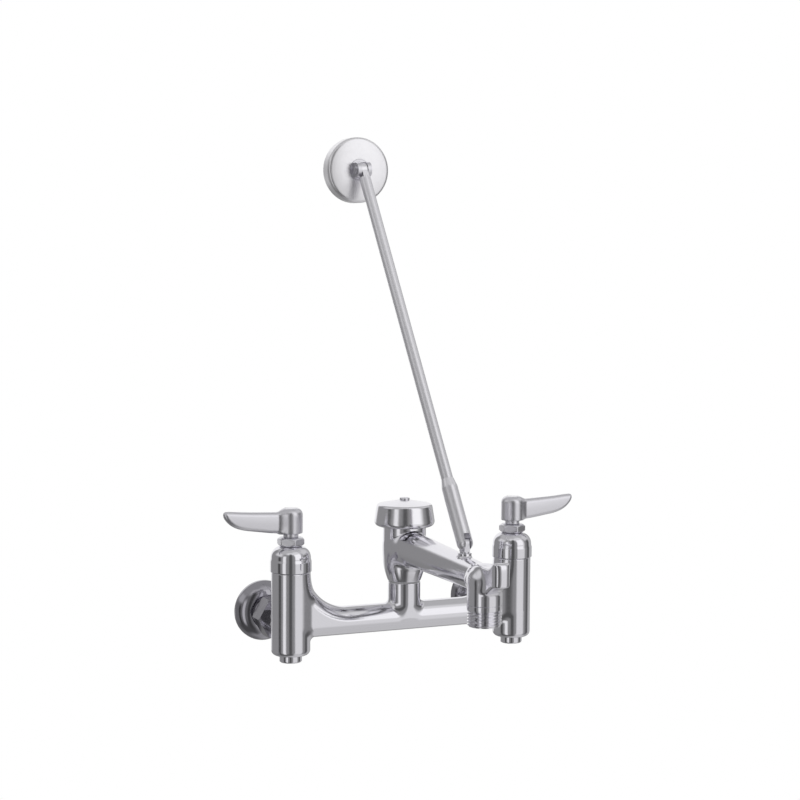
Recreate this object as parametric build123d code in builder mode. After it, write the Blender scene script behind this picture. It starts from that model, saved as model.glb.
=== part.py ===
from build123d import *
import os
from math import atan2, cos, radians, sin, sqrt

# A wall-mounted service sink faucet with a vacuum breaker and a wall brace.
# Millimetres. The wall is the plane y = 0, the faucet stands out from it towards -y, and z = 0 is the
# height of the two supply inlets. The origin lies midway between them.

# Whole faucet
valve_centres = 203.2
wall_to_valves = 68.0

# Clearances: between fixed pieces, of a turning fit, and between pieces that pass each other
snug = 0.05
running = 0.05
free = 0.3

# Small rounding on the edges of turned pieces
edge = 0.6

# Valve barrels of the body casting
barrel_radius = 16.1
barrel_rise = 44.0
barrel_drop = 22.4
barrel_foot_chamfer = 2.6

# Bridge between the barrels, and the horns that flare it into them
bridge_radius = 11.8
bridge_bore = 6.5
rise_bore = 5.8
rise_reach = 20.0
horn_reach = 33.0
horn_top_flare = 28.0
horn_bottom_reach = 6.0
horn_bottom_flare = 5.0
horn_side_flare = 2.5
horn_root_depth = 9.0
horn_first_angle = 15.0
horn_sections = 5

# Riser boss in the middle of the bridge
riser_radius = 13.6
riser_rise = 29.0
riser_flare = 3.6
riser_flare_sections = 5
riser_root_height = 2.0
riser_root_depth = 11.4
riser_bore = 8.5

# Valve chambers in each barrel
port_radius = 4.5
seat_height = 8.0
seat_floor = 5.0
chamber_radius = 12.4
bonnet_thread_radius = 12.9
shoulder_height = 30.0

# Quarter-turn cartridge
gasket_thickness = 1.45
disc_thickness = 3.0
disc_radius = 8.3
disc_port_radius = 2.0
disc_port_reach = 4.6
tongue_width = 3.0
tongue_depth = 1.4
sleeve_radius = 9.6
sleeve_bore = 8.4
sleeve_flange = 3.0
sleeve_crown = 6.0
window_width = 7.0
window_height = 6.0

# Stem
stem_radius = 4.0
stem_foot_radius = 7.6
stem_foot_height = 3.0
stem_square = 6.0
stem_square_length = 7.0

# Bonnet and its packing nut
bonnet_gap = 1.2
collar_radius = 17.1
collar_height = 8.4
collar_rounding = 2.0
collar_step = 1.2
bell_radius = 15.9
bell_height = 11.5
bell_rounding = 8.0
bonnet_hollow_radius = 8.4
bonnet_neck_radius = 7.5
bonnet_neck_height = 4.6
packing_radius = 5.9
packing_depth = 8.0
gland_depth = 1.2
nut_across_flats = 20.0
nut_height = 7.2
nut_lip = 1.6
nut_bevel = 2.2
nut_turn = 15.0

# Lever handles
hub_radius = 9.7
hub_height = 20.6
hub_rounding = 4.6
hub_draft = 0.3
hub_foot_rounding = 1.0
hub_skirt_radius = 6.2
hub_skirt_height = 3.0
lever_reach = 58.0
lever_knee = 45.0
lever_root_low = 0.3
lever_root_high = 17.3
lever_knee_low = 4.6
lever_tip_low = 15.0
lever_tip_high = 19.4
lever_root_thickness = 9.0
lever_tip_thickness = 6.4
lever_edge_rounding = 1.4
lever_knee_rounding = 14.0
lever_chin_rounding = 3.4
lever_crown_rounding = 2.2
lever_plan_rounding = 2.9
button_radius = 4.8
button_thickness = 3.2
screw_radius = 2.0
screw_head_radius = 4.0
screw_head_height = 2.4
screw_web = 4.0
screw_length = 12.0
slot_width = 1.2
slot_depth = 1.2

# Integral stops at the foot of each barrel
stop_bore = 7.45
stop_height = 14.6
stop_port_radius = 4.0
stop_stem_radius = 3.0
stop_nut_radius = 9.3
stop_nut_height = 6.0
stop_nut_rounding = 1.6
stop_thread_length = 12.7
stop_recess = 1.0

# Inlets behind the barrels
arm_radius = 12.5
arm_face = 34.0
inlet_bore = 5.0
washer_thickness = 2.0
shank_radius = 10.4
shank_bore = 7.0
shank_collar_radius = 12.4
shank_collar_thickness = 4.0
shank_hub_radius = 13.4
shank_hub_length = 17.0
inlet_thread_radius = 9.6
inlet_thread_length = 14.0
union_across_flats = 32.0
union_lip = 3.6
union_grip = 8.0
union_bevel = 1.4
flange_radius = 25.6
flange_depth = 13.0
flange_rim = 3.0
flange_dome = 14.0
flange_wall = 1.3
flange_play = 0.2

# Spout casting with the vacuum breaker chamber
riser_gasket_thickness = 1.0
body_radius = 18.1
body_shoulder = 52.0
body_top = 80.0
chamber_bore = 14.5
chamber_floor = 47.0
standpipe_wall = 2.0
standpipe_top = 57.0
spout_reach = 151.0
spout_root_radius = 14.9
spout_root_height = 59.4
spout_tip_radius = 11.0
spout_tip_height = 55.4
spout_bore = 8.0
outlet_radius = 13.6
outlet_crown = 66.5
outlet_seam = 36.0
outlet_bore = 8.5

# Pail hook in front of the outlet
hook_half_width = 7.0
hook_nose = 32.5
hook_saddle_height = 66.5
hook_tip_height = 72.6
hook_lip = 6.0
hook_chin_height = 54.0
hook_root_height = 48.0
hook_saddle_rounding = 12.0
hook_nose_rounding = 3.0
hook_chin_rounding = 3.6

# Hose outlet
hose_thread_radius = 13.4
hose_thread_length = 13.5
hose_shoulder = 3.0
hose_bevel = 1.0
hose_spigot_radius = 11.0
hose_spigot_length = 7.0

# Vacuum breaker under the cap
bonnet_plate_height = 82.6
bonnet_plate_radius = 17.6
seat_ring_bore = 10.0
vent_roof = 76.0
vent_radius = 2.1
vent_circle = 7.6
vent_count = 6
post_radius = 5.0
post_top = 91.3
float_radius = 12.6
float_thickness = 2.7
float_washer_thickness = 1.5
float_guide_radius = 2.5
float_guide_length = 10.5
float_travel = 4.5
guide_air = 1.0

# Cap over the vacuum breaker
cap_rim_radius = 26.1
cap_shoulder_radius = 23.2
cap_rim_height = 76.2
cap_shoulder_height = 94.4
cap_crown_height = 98.0
cap_wall = 1.6
cap_rim_rounding = 4.2
cap_shoulder_rounding = 2.4
cap_button_radius = 5.2
cap_air_gap = 1.4
cap_screw_radius = 1.9
cap_screw_head_radius = 4.2
cap_screw_head_height = 1.8
cap_screw_length = 6.0

# Wall brace: its foot on the spout, and the pin at the wall
brace_foot_reach = 115.7
brace_offset = 19.5
brace_rise = 374.3
brace_stand_off = 20.3
stud_boss_radius = 5.4
stud_boss_rise = 2.55
stud_pin_rise = 7.6
stud_radius = 3.0
stud_shoulder_radius = 3.8
stud_shoulder_height = 0.8
stud_depth = 5.6
tongue_thickness = 5.0
pin_radius = 2.0
pin_head_radius = 3.2
pin_head_thickness = 1.0
brace_sleeve_radius = 6.4
brace_sleeve_length = 54.0
brace_sleeve_bevel = 1.4
brace_sleeve_taper = 7.0
brace_slot_end = 6.0
rod_radius = 4.75
rod_bore_start = 9.0
rod_start = 20.0
rod_eye_radius = 5.2
rod_eye_neck = 8.0
rod_eye_root = 2.0
rod_eye_half_width = 4.35
set_screw_radius = 2.0
set_screw_from_end = 14.0

# Brace flange on the wall
brace_flange_radius = 27.8
brace_flange_depth = 14.0
brace_flange_rounding = 2.6
brace_flange_wall = 1.5
clevis_hub_radius = 8.9
clevis_hub_proud = 0.2
ear_radius = 6.2
ear_thickness = 3.4
wall_screw_radius = 3.2
wall_screw_depth = 10.0

# Places that follow from the sizes
valve_x = valve_centres / 2
valve_y = -wall_to_valves
outlet_y = valve_y - spout_reach
spout_root_top = spout_root_height + spout_root_radius
spout_tip_top = spout_tip_height + spout_tip_radius
spout_top_at_foot = spout_root_top + (spout_tip_top - spout_root_top) * brace_foot_reach / spout_reach
stud_boss_height = spout_top_at_foot + stud_boss_rise
brace_pin_height = stud_boss_height + stud_pin_rise
sides = {"left": -1, "right": 1}

os.makedirs("parts", exist_ok=True)


def save(piece, name):
    """Label a finished piece and write it."""
    piece.part.label = name
    export_step(piece.part, f"parts/{name}.step")


def upright(x, y, outward=1):
    """A plane through a vertical axis at x, y: its first direction is +x or -x, its second is up."""
    return Plane(origin=(x, y, 0), x_dir=(outward, 0, 0), z_dir=(0, -outward, 0))


def from_wall(x, z=0):
    """A plane through a level axis that leaves the wall at x, z: its second direction is -y."""
    return Plane(origin=(x, 0, z), x_dir=(1, 0, 0), z_dir=(0, 0, -1))


def facing_wall(x, reach, height=0):
    """An upright plane parallel to the wall, some way out from it."""
    return Plane(origin=(x, -reach, height), x_dir=(1, 0, 0), z_dir=(0, -1, 0))


def turn(plane, *corners, mode=Mode.ADD):
    """Turn a profile about the plane's second direction.

    Each corner is a radius and a height, and a third number rounds it.
    """
    with BuildSketch(plane) as profile:
        with BuildLine():
            FilletPolyline(
                [corner[:2] for corner in corners],
                radius=[corner[2] if len(corner) > 2 else 0 for corner in corners],
                close=True,
            )
        make_face()
    revolve(profile.sketch, axis=Axis(plane.origin, plane.y_dir), mode=mode)


def bore(plane, radius, start, end, mode=Mode.SUBTRACT):
    """A round hole about the plane's second direction, from one height to another."""
    turn(plane, (0, start), (radius, start), (radius, end), (0, end), mode=mode)


def level(height, x=0, y=0):
    """A level plane at a height, centred on x, y."""
    return Plane(origin=(x, y, height))


# Heights along a valve's axis
seat_top = seat_height + gasket_thickness
disc_face = seat_top + disc_thickness + running
moving_disc_top = disc_face + disc_thickness
foot_top = moving_disc_top + stem_foot_height
sleeve_top = shoulder_height + sleeve_flange
bonnet_seat = barrel_rise + bonnet_gap
collar_top = bonnet_seat + collar_height
bell_top = collar_top + bell_height
neck_top = bell_top + bonnet_neck_height
nut_top = bell_top + nut_height
hub_foot = nut_top + free + hub_skirt_height
hub_top = hub_foot + hub_height
stem_top = hub_top - button_thickness - screw_head_height - screw_web - free
square_start = stem_top - stem_square_length
stop_top = seat_height - seat_floor - free
stop_foot = stop_top - stop_height
stop_port_height = stop_top - stop_height / 3
barrel_foot = -barrel_drop - barrel_foot_chamfer


def flare(height, reach, way):
    """How far a quarter ellipse of this height and reach stands off, some way along it."""
    left = max(1 - way / reach, 0)
    return height * (1 - sqrt(1 - left**2))


def bridge_section(x, way):
    """An upright oval across the bridge at x, some way out from the barrel's side."""
    low = -bridge_radius - flare(horn_bottom_flare, horn_bottom_reach, way)
    high = bridge_radius + flare(horn_top_flare, horn_reach, way)
    half_width = bridge_radius + flare(horn_side_flare, horn_reach, way)
    with BuildSketch(Plane.YZ.offset(x)) as section:
        with Locations((valve_y, (low + high) / 2)):
            Ellipse(half_width, (high - low) / 2)
    return section.sketch


def bridge_horn(side):
    """The flared end of the bridge at one barrel."""
    sections = [bridge_section(side * (valve_x - barrel_radius + horn_root_depth), 0)]
    for step in range(horn_sections + 1):
        angle = horn_first_angle + (90 - horn_first_angle) * step / horn_sections
        way = horn_reach * (1 - cos(radians(angle)))
        sections.append(bridge_section(side * (valve_x - barrel_radius - way), way))
    loft(sections)


def riser_section(height):
    """A level oval of the riser boss, which flares along the bridge and thins into its sides."""
    across = riser_radius + flare(riser_flare, riser_flare, max(height - bridge_radius, 0))
    rise = (height - riser_root_height) / (bridge_radius + riser_flare - riser_root_height)
    deep = riser_root_depth + rise * (riser_radius - riser_root_depth)
    with BuildSketch(level(height, 0, valve_y)) as section:
        Ellipse(across, deep)
    return section.sketch


def inlet_arm(side):
    """The threaded tail that points from a barrel to the wall."""
    bore(from_wall(side * valve_x), arm_radius, arm_face, wall_to_valves, mode=Mode.ADD)


def valve_chambers(side):
    """The chambers for the stop and the cartridge, and the passages that reach them."""
    valve = upright(side * valve_x, valve_y)
    bore(valve, stop_bore, barrel_foot, seat_height - seat_floor)
    bore(valve, port_radius, 0, seat_height)
    bore(valve, chamber_radius, seat_height, shoulder_height)
    bore(valve, bonnet_thread_radius, shoulder_height, barrel_rise)
    bore(from_wall(side * valve_x, stop_port_height), inlet_bore, arm_face, wall_to_valves)
    low_end = Vector(side * (valve_x - barrel_radius - rise_reach), valve_y, 0)
    high_end = Vector(side * (valve_x - chamber_radius / 2), valve_y, seat_height + bridge_bore)
    with BuildSketch(Plane(origin=low_end, z_dir=high_end - low_end)) as passage:
        Circle(rise_bore)
    extrude(passage.sketch, amount=(high_end - low_end).length, mode=Mode.SUBTRACT)


with BuildPart() as faucet_body:
    for side in sides.values():
        turn(
            upright(side * valve_x, valve_y),
            (0, barrel_foot),
            (barrel_radius - barrel_foot_chamfer, barrel_foot),
            (barrel_radius, -barrel_drop),
            (barrel_radius, barrel_rise, edge),
            (0, barrel_rise),
        )
        bridge_horn(side)
        inlet_arm(side)
    middle = valve_x - barrel_radius - horn_reach
    with BuildSketch(Plane.YZ.offset(-middle)) as tube:
        with Locations((valve_y, 0)):
            Circle(bridge_radius)
    extrude(tube.sketch, amount=2 * middle)
    flare_sections = [riser_section(riser_root_height)]
    for step in range(riser_flare_sections + 1):
        rise = riser_flare * (1 - cos(radians(90 * step / riser_flare_sections)))
        flare_sections.append(riser_section(bridge_radius + rise))
    loft(flare_sections, ruled=True)
    boss_foot = bridge_radius + riser_flare
    bore(upright(0, valve_y), riser_radius, boss_foot, riser_rise, mode=Mode.ADD)
    bore(upright(0, valve_y), riser_bore, 0, riser_rise)
    reach = valve_x - barrel_radius - rise_reach + bridge_bore
    with BuildSketch(Plane.YZ.offset(-reach)) as waterway:
        with Locations((valve_y, 0)):
            Circle(bridge_bore)
    extrude(waterway.sketch, amount=2 * reach, mode=Mode.SUBTRACT)
    for side in sides.values():
        valve_chambers(side)
save(faucet_body, "faucet_body")


def disc(side, bottom, radius, ports_along_x, slotted):
    """A ceramic disc of the cartridge with two ports, and a slot on top if the stem turns it."""
    x = side * valve_x
    reach = (disc_port_reach, 0) if ports_along_x else (0, disc_port_reach)
    with BuildPart() as piece:
        bore(upright(x, valve_y), radius, bottom, bottom + disc_thickness, mode=Mode.ADD)
        with BuildSketch(level(bottom, x, valve_y)) as ports:
            with Locations(reach, (-reach[0], -reach[1])):
                Circle(disc_port_radius)
        extrude(ports.sketch, amount=disc_thickness, mode=Mode.SUBTRACT)
        if slotted:
            with BuildSketch(level(bottom + disc_thickness - tongue_depth, x, valve_y)) as slot:
                Rectangle(2 * radius, tongue_width + 2 * snug)
            extrude(slot.sketch, amount=tongue_depth, mode=Mode.SUBTRACT)
    return piece


def cartridge_sleeve(side):
    """The brass sleeve that holds the discs, with a window on each side and a bearing for the stem."""
    x = side * valve_x
    crown = sleeve_top - sleeve_crown
    with BuildPart() as piece:
        turn(
            upright(x, valve_y),
            (sleeve_bore, seat_top),
            (sleeve_radius, seat_top),
            (sleeve_radius, shoulder_height),
            (bonnet_thread_radius - 2 * snug, shoulder_height),
            (bonnet_thread_radius - 2 * snug, sleeve_top),
            (stem_radius + running, sleeve_top),
            (stem_radius + running, crown),
            (sleeve_bore, crown),
        )
        with BuildSketch(level(foot_top, x, valve_y)) as windows:
            Rectangle(2 * chamber_radius, window_width)
            Circle(stem_radius, mode=Mode.SUBTRACT)
        extrude(windows.sketch, amount=window_height, mode=Mode.SUBTRACT)
    return piece


def stem(side):
    """The stem: a tongued foot on the moving disc, a round shank and a square for the handle."""
    x = side * valve_x
    with BuildPart() as piece:
        turn(
            upright(x, valve_y),
            (0, moving_disc_top + snug),
            (stem_foot_radius, moving_disc_top + snug),
            (stem_foot_radius, foot_top),
            (stem_radius, foot_top),
            (stem_radius, square_start),
            (0, square_start),
        )
        with BuildSketch(level(moving_disc_top - tongue_depth + snug, x, valve_y)) as tongue:
            Rectangle(2 * stem_foot_radius, tongue_width)
        extrude(tongue.sketch, amount=tongue_depth)
        with BuildSketch(level(square_start, x, valve_y)) as square:
            Rectangle(stem_square, stem_square)
        extrude(square.sketch, amount=stem_square_length)
        bore(upright(x, valve_y), screw_radius, stem_top - screw_length + screw_web - free, stem_top)
    return piece


def bonnet(side):
    """The bell-shaped bonnet that screws into the barrel and carries the packing box."""
    spigot = bonnet_thread_radius - snug
    box_floor = neck_top - packing_depth
    with BuildPart() as piece:
        turn(
            upright(side * valve_x, valve_y),
            (bonnet_hollow_radius, sleeve_top),
            (spigot, sleeve_top),
            (spigot, bonnet_seat),
            (collar_radius, bonnet_seat, edge),
            (collar_radius, collar_top, collar_rounding),
            (bell_radius, collar_top + collar_step),
            (bell_radius, bell_top, bell_rounding),
            (bonnet_neck_radius, bell_top),
            (bonnet_neck_radius, neck_top),
            (packing_radius, neck_top),
            (packing_radius, box_floor),
            (stem_radius + running, box_floor),
            (stem_radius + running, bonnet_seat),
            (bonnet_hollow_radius, bonnet_seat),
        )
    return piece


def packing_nut(side):
    """The six-sided nut that presses the packing down, with both its ends bevelled."""
    x = side * valve_x
    gland_foot = neck_top - gland_depth
    corner = nut_across_flats / sqrt(3)
    with BuildPart() as piece:
        with BuildSketch(level(bell_top + snug, x, valve_y)) as hexagon:
            RegularPolygon(corner, 6, rotation=nut_turn)
        extrude(hexagon.sketch, amount=nut_height - snug)
        turn(
            upright(x, valve_y),
            (0, bell_top),
            (corner - nut_bevel, bell_top),
            (corner, bell_top + nut_bevel),
            (corner, nut_top - nut_bevel),
            (corner - nut_bevel, nut_top),
            (0, nut_top),
            mode=Mode.INTERSECT,
        )
        turn(
            upright(x, valve_y),
            (0, bell_top),
            (bonnet_neck_radius + snug, bell_top),
            (bonnet_neck_radius + snug, nut_top - nut_lip),
            (packing_radius - snug, nut_top - nut_lip),
            (packing_radius - snug, gland_foot),
            (0, gland_foot),
            mode=Mode.SUBTRACT,
        )
        bore(upright(x, valve_y), stem_radius + running, gland_foot, nut_top)
    return piece


def stem_packing(side):
    """The soft packing ring round the stem."""
    inner = stem_radius + running
    low = neck_top - packing_depth
    high = neck_top - gland_depth
    with BuildPart() as piece:
        turn(
            upright(side * valve_x, valve_y),
            (inner, low),
            (packing_radius - snug, low),
            (packing_radius - snug, high),
            (inner, high),
        )
    return piece


def ring(plane, inner, outer, low, high):
    """A flat washer or gasket."""
    with BuildPart() as piece:
        turn(plane, (inner, low), (outer, low), (outer, high), (inner, high))
    return piece


def lever(side):
    """The lever handle: a domed hub, and a tall blade that rises and thins towards its rounded tip."""
    x = side * valve_x
    axis = upright(x, valve_y)
    screw_seat = hub_top - button_thickness - screw_head_height
    with BuildPart() as blade:
        with BuildSketch(upright(x, valve_y, side)) as elevation:
            with BuildLine():
                FilletPolyline(
                    (0, hub_foot + lever_root_low),
                    (lever_knee, hub_foot + lever_knee_low),
                    (lever_reach, hub_foot + lever_tip_low),
                    (lever_reach, hub_foot + lever_tip_high),
                    (0, hub_foot + lever_root_high),
                    radius=[0, lever_knee_rounding, lever_chin_rounding, lever_crown_rounding, 0],
                    close=True,
                )
            make_face()
        extrude(elevation.sketch, amount=lever_root_thickness, both=True)
        with BuildSketch(Plane(origin=(x, valve_y, 0), x_dir=(side, 0, 0))) as plan:
            with BuildLine():
                FilletPolyline(
                    (0, -lever_root_thickness / 2),
                    (lever_reach, -lever_tip_thickness / 2),
                    (lever_reach, lever_tip_thickness / 2),
                    (0, lever_root_thickness / 2),
                    radius=[0, lever_plan_rounding, lever_plan_rounding, 0],
                    close=True,
                )
            make_face()
        extrude(plan.sketch, amount=hub_top, mode=Mode.INTERSECT)
    with BuildPart() as piece:
        add(blade.part)
        bore(axis, hub_radius, hub_foot, hub_top)
        fillet(piece.edges().filter_by(lambda edge: edge.length > hub_radius), lever_edge_rounding)
        turn(
            axis,
            (0, hub_foot - hub_skirt_height),
            (hub_skirt_radius, hub_foot - hub_skirt_height),
            (hub_skirt_radius, hub_foot),
            (hub_radius - hub_draft, hub_foot, hub_foot_rounding),
            (hub_radius, hub_foot + hub_height / 2),
            (hub_radius, hub_top, hub_rounding),
            (0, hub_top),
        )
        bore(axis, stem_radius + snug, hub_foot - hub_skirt_height, square_start + free)
        with BuildSketch(level(square_start, x, valve_y)) as socket:
            Rectangle(stem_square + 2 * snug, stem_square + 2 * snug)
        extrude(socket.sketch, amount=stem_square_length + free, mode=Mode.SUBTRACT)
        bore(axis, screw_radius + snug, stem_top, hub_top)
        bore(axis, button_radius + snug, screw_seat, hub_top)
    return piece


def slotted_screw(plane, head, shank, head_foot, length):
    """A screw along the plane's second direction, with a slot across its domed head.

    The head is given by its radius and height, the shank by its radius.
    """
    head_radius, head_height = head
    with BuildPart() as piece:
        turn(
            plane,
            (0, head_foot - length),
            (shank, head_foot - length),
            (shank, head_foot),
            (head_radius, head_foot),
            (head_radius, head_foot + head_height, head_height / 3),
            (0, head_foot + head_height),
        )
        top = plane.origin + plane.y_dir * (head_foot + head_height)
        with BuildSketch(Plane(origin=top, x_dir=plane.x_dir, z_dir=plane.y_dir)) as slot:
            Rectangle(2 * head_radius, slot_width)
        extrude(slot.sketch, amount=-min(slot_depth, head_height / 2), mode=Mode.SUBTRACT)
    return piece


def index_button(side):
    """The plain domed button that closes the hub."""
    low = hub_top - button_thickness
    with BuildPart() as piece:
        turn(
            upright(side * valve_x, valve_y),
            (0, low),
            (button_radius, low),
            (button_radius, hub_top, edge),
            (0, hub_top),
        )
    return piece


def stop_plug(side):
    """The quarter-turn stop: a plug with an elbow port, on a stem with a screwdriver slot."""
    x = side * valve_x
    valve = upright(x, valve_y)
    radius = stop_bore - running
    tip = barrel_foot - stop_nut_height + stop_recess
    with BuildPart() as piece:
        turn(
            valve,
            (0, tip),
            (stop_stem_radius, tip),
            (stop_stem_radius, stop_foot),
            (radius, stop_foot),
            (radius, stop_top),
            (0, stop_top),
        )
        bore(valve, stop_port_radius, stop_port_height, stop_top)
        bore(from_wall(x, stop_port_height), stop_port_radius, wall_to_valves - 2 * radius, wall_to_valves)
        with BuildSketch(level(tip, x, valve_y)) as slot:
            Rectangle(2 * stop_stem_radius, slot_width)
        extrude(slot.sketch, amount=slot_depth, mode=Mode.SUBTRACT)
    return piece


def stop_nut(side):
    """The bush that holds the stop in, with its rounded head under the barrel."""
    head_foot = barrel_foot - stop_nut_height
    with BuildPart() as piece:
        turn(
            upright(side * valve_x, valve_y),
            (stop_stem_radius + running, head_foot),
            (stop_nut_radius, head_foot, stop_nut_rounding),
            (stop_nut_radius, barrel_foot),
            (stop_bore - snug, barrel_foot),
            (stop_bore - snug, stop_foot - free),
            (stop_stem_radius + running, stop_foot - free),
        )
    return piece


def inlet_shank(side):
    """The inlet: a tapped hub at the wall, a neck, and the collar that the union nut pulls up."""
    face = arm_face - washer_thickness
    with BuildPart() as piece:
        turn(
            from_wall(side * valve_x),
            (inlet_thread_radius, 0),
            (shank_hub_radius, 0),
            (shank_hub_radius, shank_hub_length, edge),
            (shank_radius, shank_hub_length),
            (shank_radius, face - shank_collar_thickness),
            (shank_collar_radius - snug, face - shank_collar_thickness),
            (shank_collar_radius - snug, face),
            (shank_bore, face),
            (shank_bore, inlet_thread_length),
            (inlet_thread_radius, inlet_thread_length),
        )
    return piece


def union_nut(side):
    """The six-sided union nut that pulls the shank's collar against the body."""
    axis = from_wall(side * valve_x)
    lip_top = arm_face - washer_thickness - shank_collar_thickness
    foot = lip_top - union_lip
    top = arm_face + union_grip
    corner = union_across_flats / sqrt(3)
    with BuildPart() as piece:
        with BuildSketch(facing_wall(side * valve_x, foot)) as hexagon:
            RegularPolygon(corner, 6)
        extrude(hexagon.sketch, amount=top - foot)
        turn(
            axis,
            (0, foot),
            (corner - union_bevel, foot),
            (corner, foot + union_bevel),
            (corner, top - union_bevel),
            (corner - union_bevel, top),
            (0, top),
            mode=Mode.INTERSECT,
        )
        bore(axis, shank_radius + snug, foot, lip_top)
        bore(axis, arm_radius + snug, lip_top, top)
    return piece


def wall_flange(side):
    """The domed escutcheon that closes the hole in the wall."""
    axis = from_wall(side * valve_x)
    hole = shank_hub_radius + flange_play
    inside = flange_radius - flange_wall
    inner_dome = flange_dome - flange_wall
    with BuildPart() as piece:
        with BuildSketch(axis) as profile:
            with BuildLine():
                Polyline((inside, 0), (flange_radius, 0), (flange_radius, flange_rim))
                RadiusArc((flange_radius, flange_rim), (hole, flange_depth), -flange_dome)
                Line((hole, flange_depth), (hole, flange_depth - flange_wall))
                RadiusArc((hole, flange_depth - flange_wall), (inside, flange_rim), inner_dome)
                Line((inside, flange_rim), (inside, 0))
            make_face()
        revolve(profile.sketch, axis=Axis(axis.origin, axis.y_dir))
    return piece


for name, side in sides.items():
    valve = upright(side * valve_x, valve_y)
    inlet = from_wall(side * valve_x)
    gasket = ring(valve, port_radius + free, sleeve_radius - free, seat_height, seat_top)
    save(gasket, f"{name}_seat_gasket")
    save(disc(side, seat_top, disc_radius, True, False), f"{name}_fixed_disc")
    save(disc(side, disc_face, disc_radius - free, False, True), f"{name}_moving_disc")
    save(cartridge_sleeve(side), f"{name}_cartridge_sleeve")
    save(stem(side), f"{name}_stem")
    gasket = ring(valve, bonnet_thread_radius + snug, barrel_radius - edge, barrel_rise, bonnet_seat)
    save(gasket, f"{name}_bonnet_gasket")
    save(bonnet(side), f"{name}_bonnet")
    save(stem_packing(side), f"{name}_stem_packing")
    save(packing_nut(side), f"{name}_packing_nut")
    save(lever(side), f"{name}_lever")
    screw_seat = hub_top - button_thickness - screw_head_height
    head = (screw_head_radius, screw_head_height - snug)
    save(slotted_screw(valve, head, screw_radius - snug, screw_seat, screw_length), f"{name}_lever_screw")
    save(index_button(side), f"{name}_index_button")
    save(stop_plug(side), f"{name}_stop_plug")
    save(stop_nut(side), f"{name}_stop_nut")
    save(inlet_shank(side), f"{name}_inlet_shank")
    washer = ring(inlet, shank_bore, shank_collar_radius - snug, arm_face - washer_thickness, arm_face)
    save(washer, f"{name}_union_washer")
    save(union_nut(side), f"{name}_union_nut")
    save(wall_flange(side), f"{name}_wall_flange")

# Heights and places of the spout and the vacuum breaker
gasket_top = riser_rise + riser_gasket_thickness
float_foot = standpipe_top + free
washer_foot = float_foot + float_thickness
washer_top = washer_foot + float_washer_thickness
seat_ring_foot = washer_top + float_travel + free
riser = upright(0, valve_y)
outlet = upright(0, outlet_y)

save(ring(riser, riser_bore, riser_radius - edge, riser_rise, gasket_top), "riser_gasket")


def spout_circle(reach, radius, height):
    """A round section of the spout, across its length."""
    with BuildSketch(facing_wall(0, wall_to_valves + reach, height)) as section:
        Circle(radius)
    return section.sketch


def pail_hook():
    """The horn that stands forward of the outlet's crown, with a saddle for a pail's bail."""
    start = outlet_y + outlet_radius / 2
    nose = outlet_y - hook_nose
    front = outlet_y - outlet_radius
    with BuildPart() as piece:
        with BuildSketch(Plane.YZ) as profile:
            with BuildLine():
                FilletPolyline(
                    (start, hook_root_height),
                    (start, hook_saddle_height),
                    (front, hook_saddle_height),
                    (nose + hook_lip, hook_tip_height),
                    (nose, hook_tip_height - hook_lip / 2),
                    (nose, hook_chin_height),
                    (nose + 2 * hook_lip, hook_chin_height),
                    (front, hook_root_height),
                    radius=[
                        0,
                        0,
                        hook_saddle_rounding,
                        hook_nose_rounding,
                        hook_nose_rounding,
                        hook_chin_rounding,
                        hook_chin_rounding,
                        0,
                    ],
                    close=True,
                )
            make_face()
        extrude(profile.sketch, amount=hook_half_width, both=True)
        with BuildSketch(level(0)) as plan:
            with BuildLine():
                FilletPolyline(
                    (-hook_half_width, start),
                    (-hook_half_width, nose),
                    (hook_half_width, nose),
                    (hook_half_width, start),
                    radius=[0, hook_half_width - snug, hook_half_width - snug, 0],
                    close=True,
                )
            make_face()
        extrude(plan.sketch, amount=body_top, mode=Mode.INTERSECT)
    return piece


hook = pail_hook()
neck_drop = body_shoulder - gasket_top
neck_step = body_radius - riser_radius
neck_arc = (neck_step**2 + neck_drop**2) / (2 * neck_step)
with BuildPart() as spout_body:
    with BuildSketch(riser) as chamber_profile:
        with BuildLine():
            Polyline((0, gasket_top), (riser_radius, gasket_top))
            RadiusArc((riser_radius, gasket_top), (body_radius, body_shoulder), -neck_arc)
            Polyline((body_radius, body_shoulder), (body_radius, body_top), (0, body_top), (0, gasket_top))
        make_face()
    revolve(chamber_profile.sketch, axis=Axis(riser.origin, riser.y_dir))
    loft(
        [
            spout_circle(0, spout_root_radius, spout_root_height),
            spout_circle(spout_reach, spout_tip_radius, spout_tip_height),
        ]
    )
    turn(
        outlet,
        (0, outlet_seam),
        (outlet_radius, outlet_seam),
        (outlet_radius, outlet_crown, outlet_radius - snug),
        (0, outlet_crown),
    )
    add(hook.part)
    boss = upright(0, valve_y - brace_foot_reach)
    bore(boss, stud_boss_radius, spout_root_height, stud_boss_height, mode=Mode.ADD)
    bore(riser, riser_bore, gasket_top, standpipe_top)
    bore(riser, chamber_bore, standpipe_top, body_top)
    turn(
        riser,
        (riser_bore + standpipe_wall, chamber_floor),
        (chamber_bore, chamber_floor),
        (chamber_bore, body_top),
        (riser_bore + standpipe_wall, body_top),
        mode=Mode.SUBTRACT,
    )
    loft(
        [
            spout_circle(riser_bore + standpipe_wall + free, spout_bore, spout_root_height),
            spout_circle(spout_reach, spout_bore, spout_tip_height),
        ],
        mode=Mode.SUBTRACT,
    )
    bore(outlet, outlet_bore, outlet_seam, spout_tip_height)
    bore(outlet, hose_spigot_radius + snug, outlet_seam, outlet_seam + hose_spigot_length + free)
    bore(boss, stud_radius + running, stud_boss_height - stud_depth, stud_boss_height)
save(spout_body, "spout_body")

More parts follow.
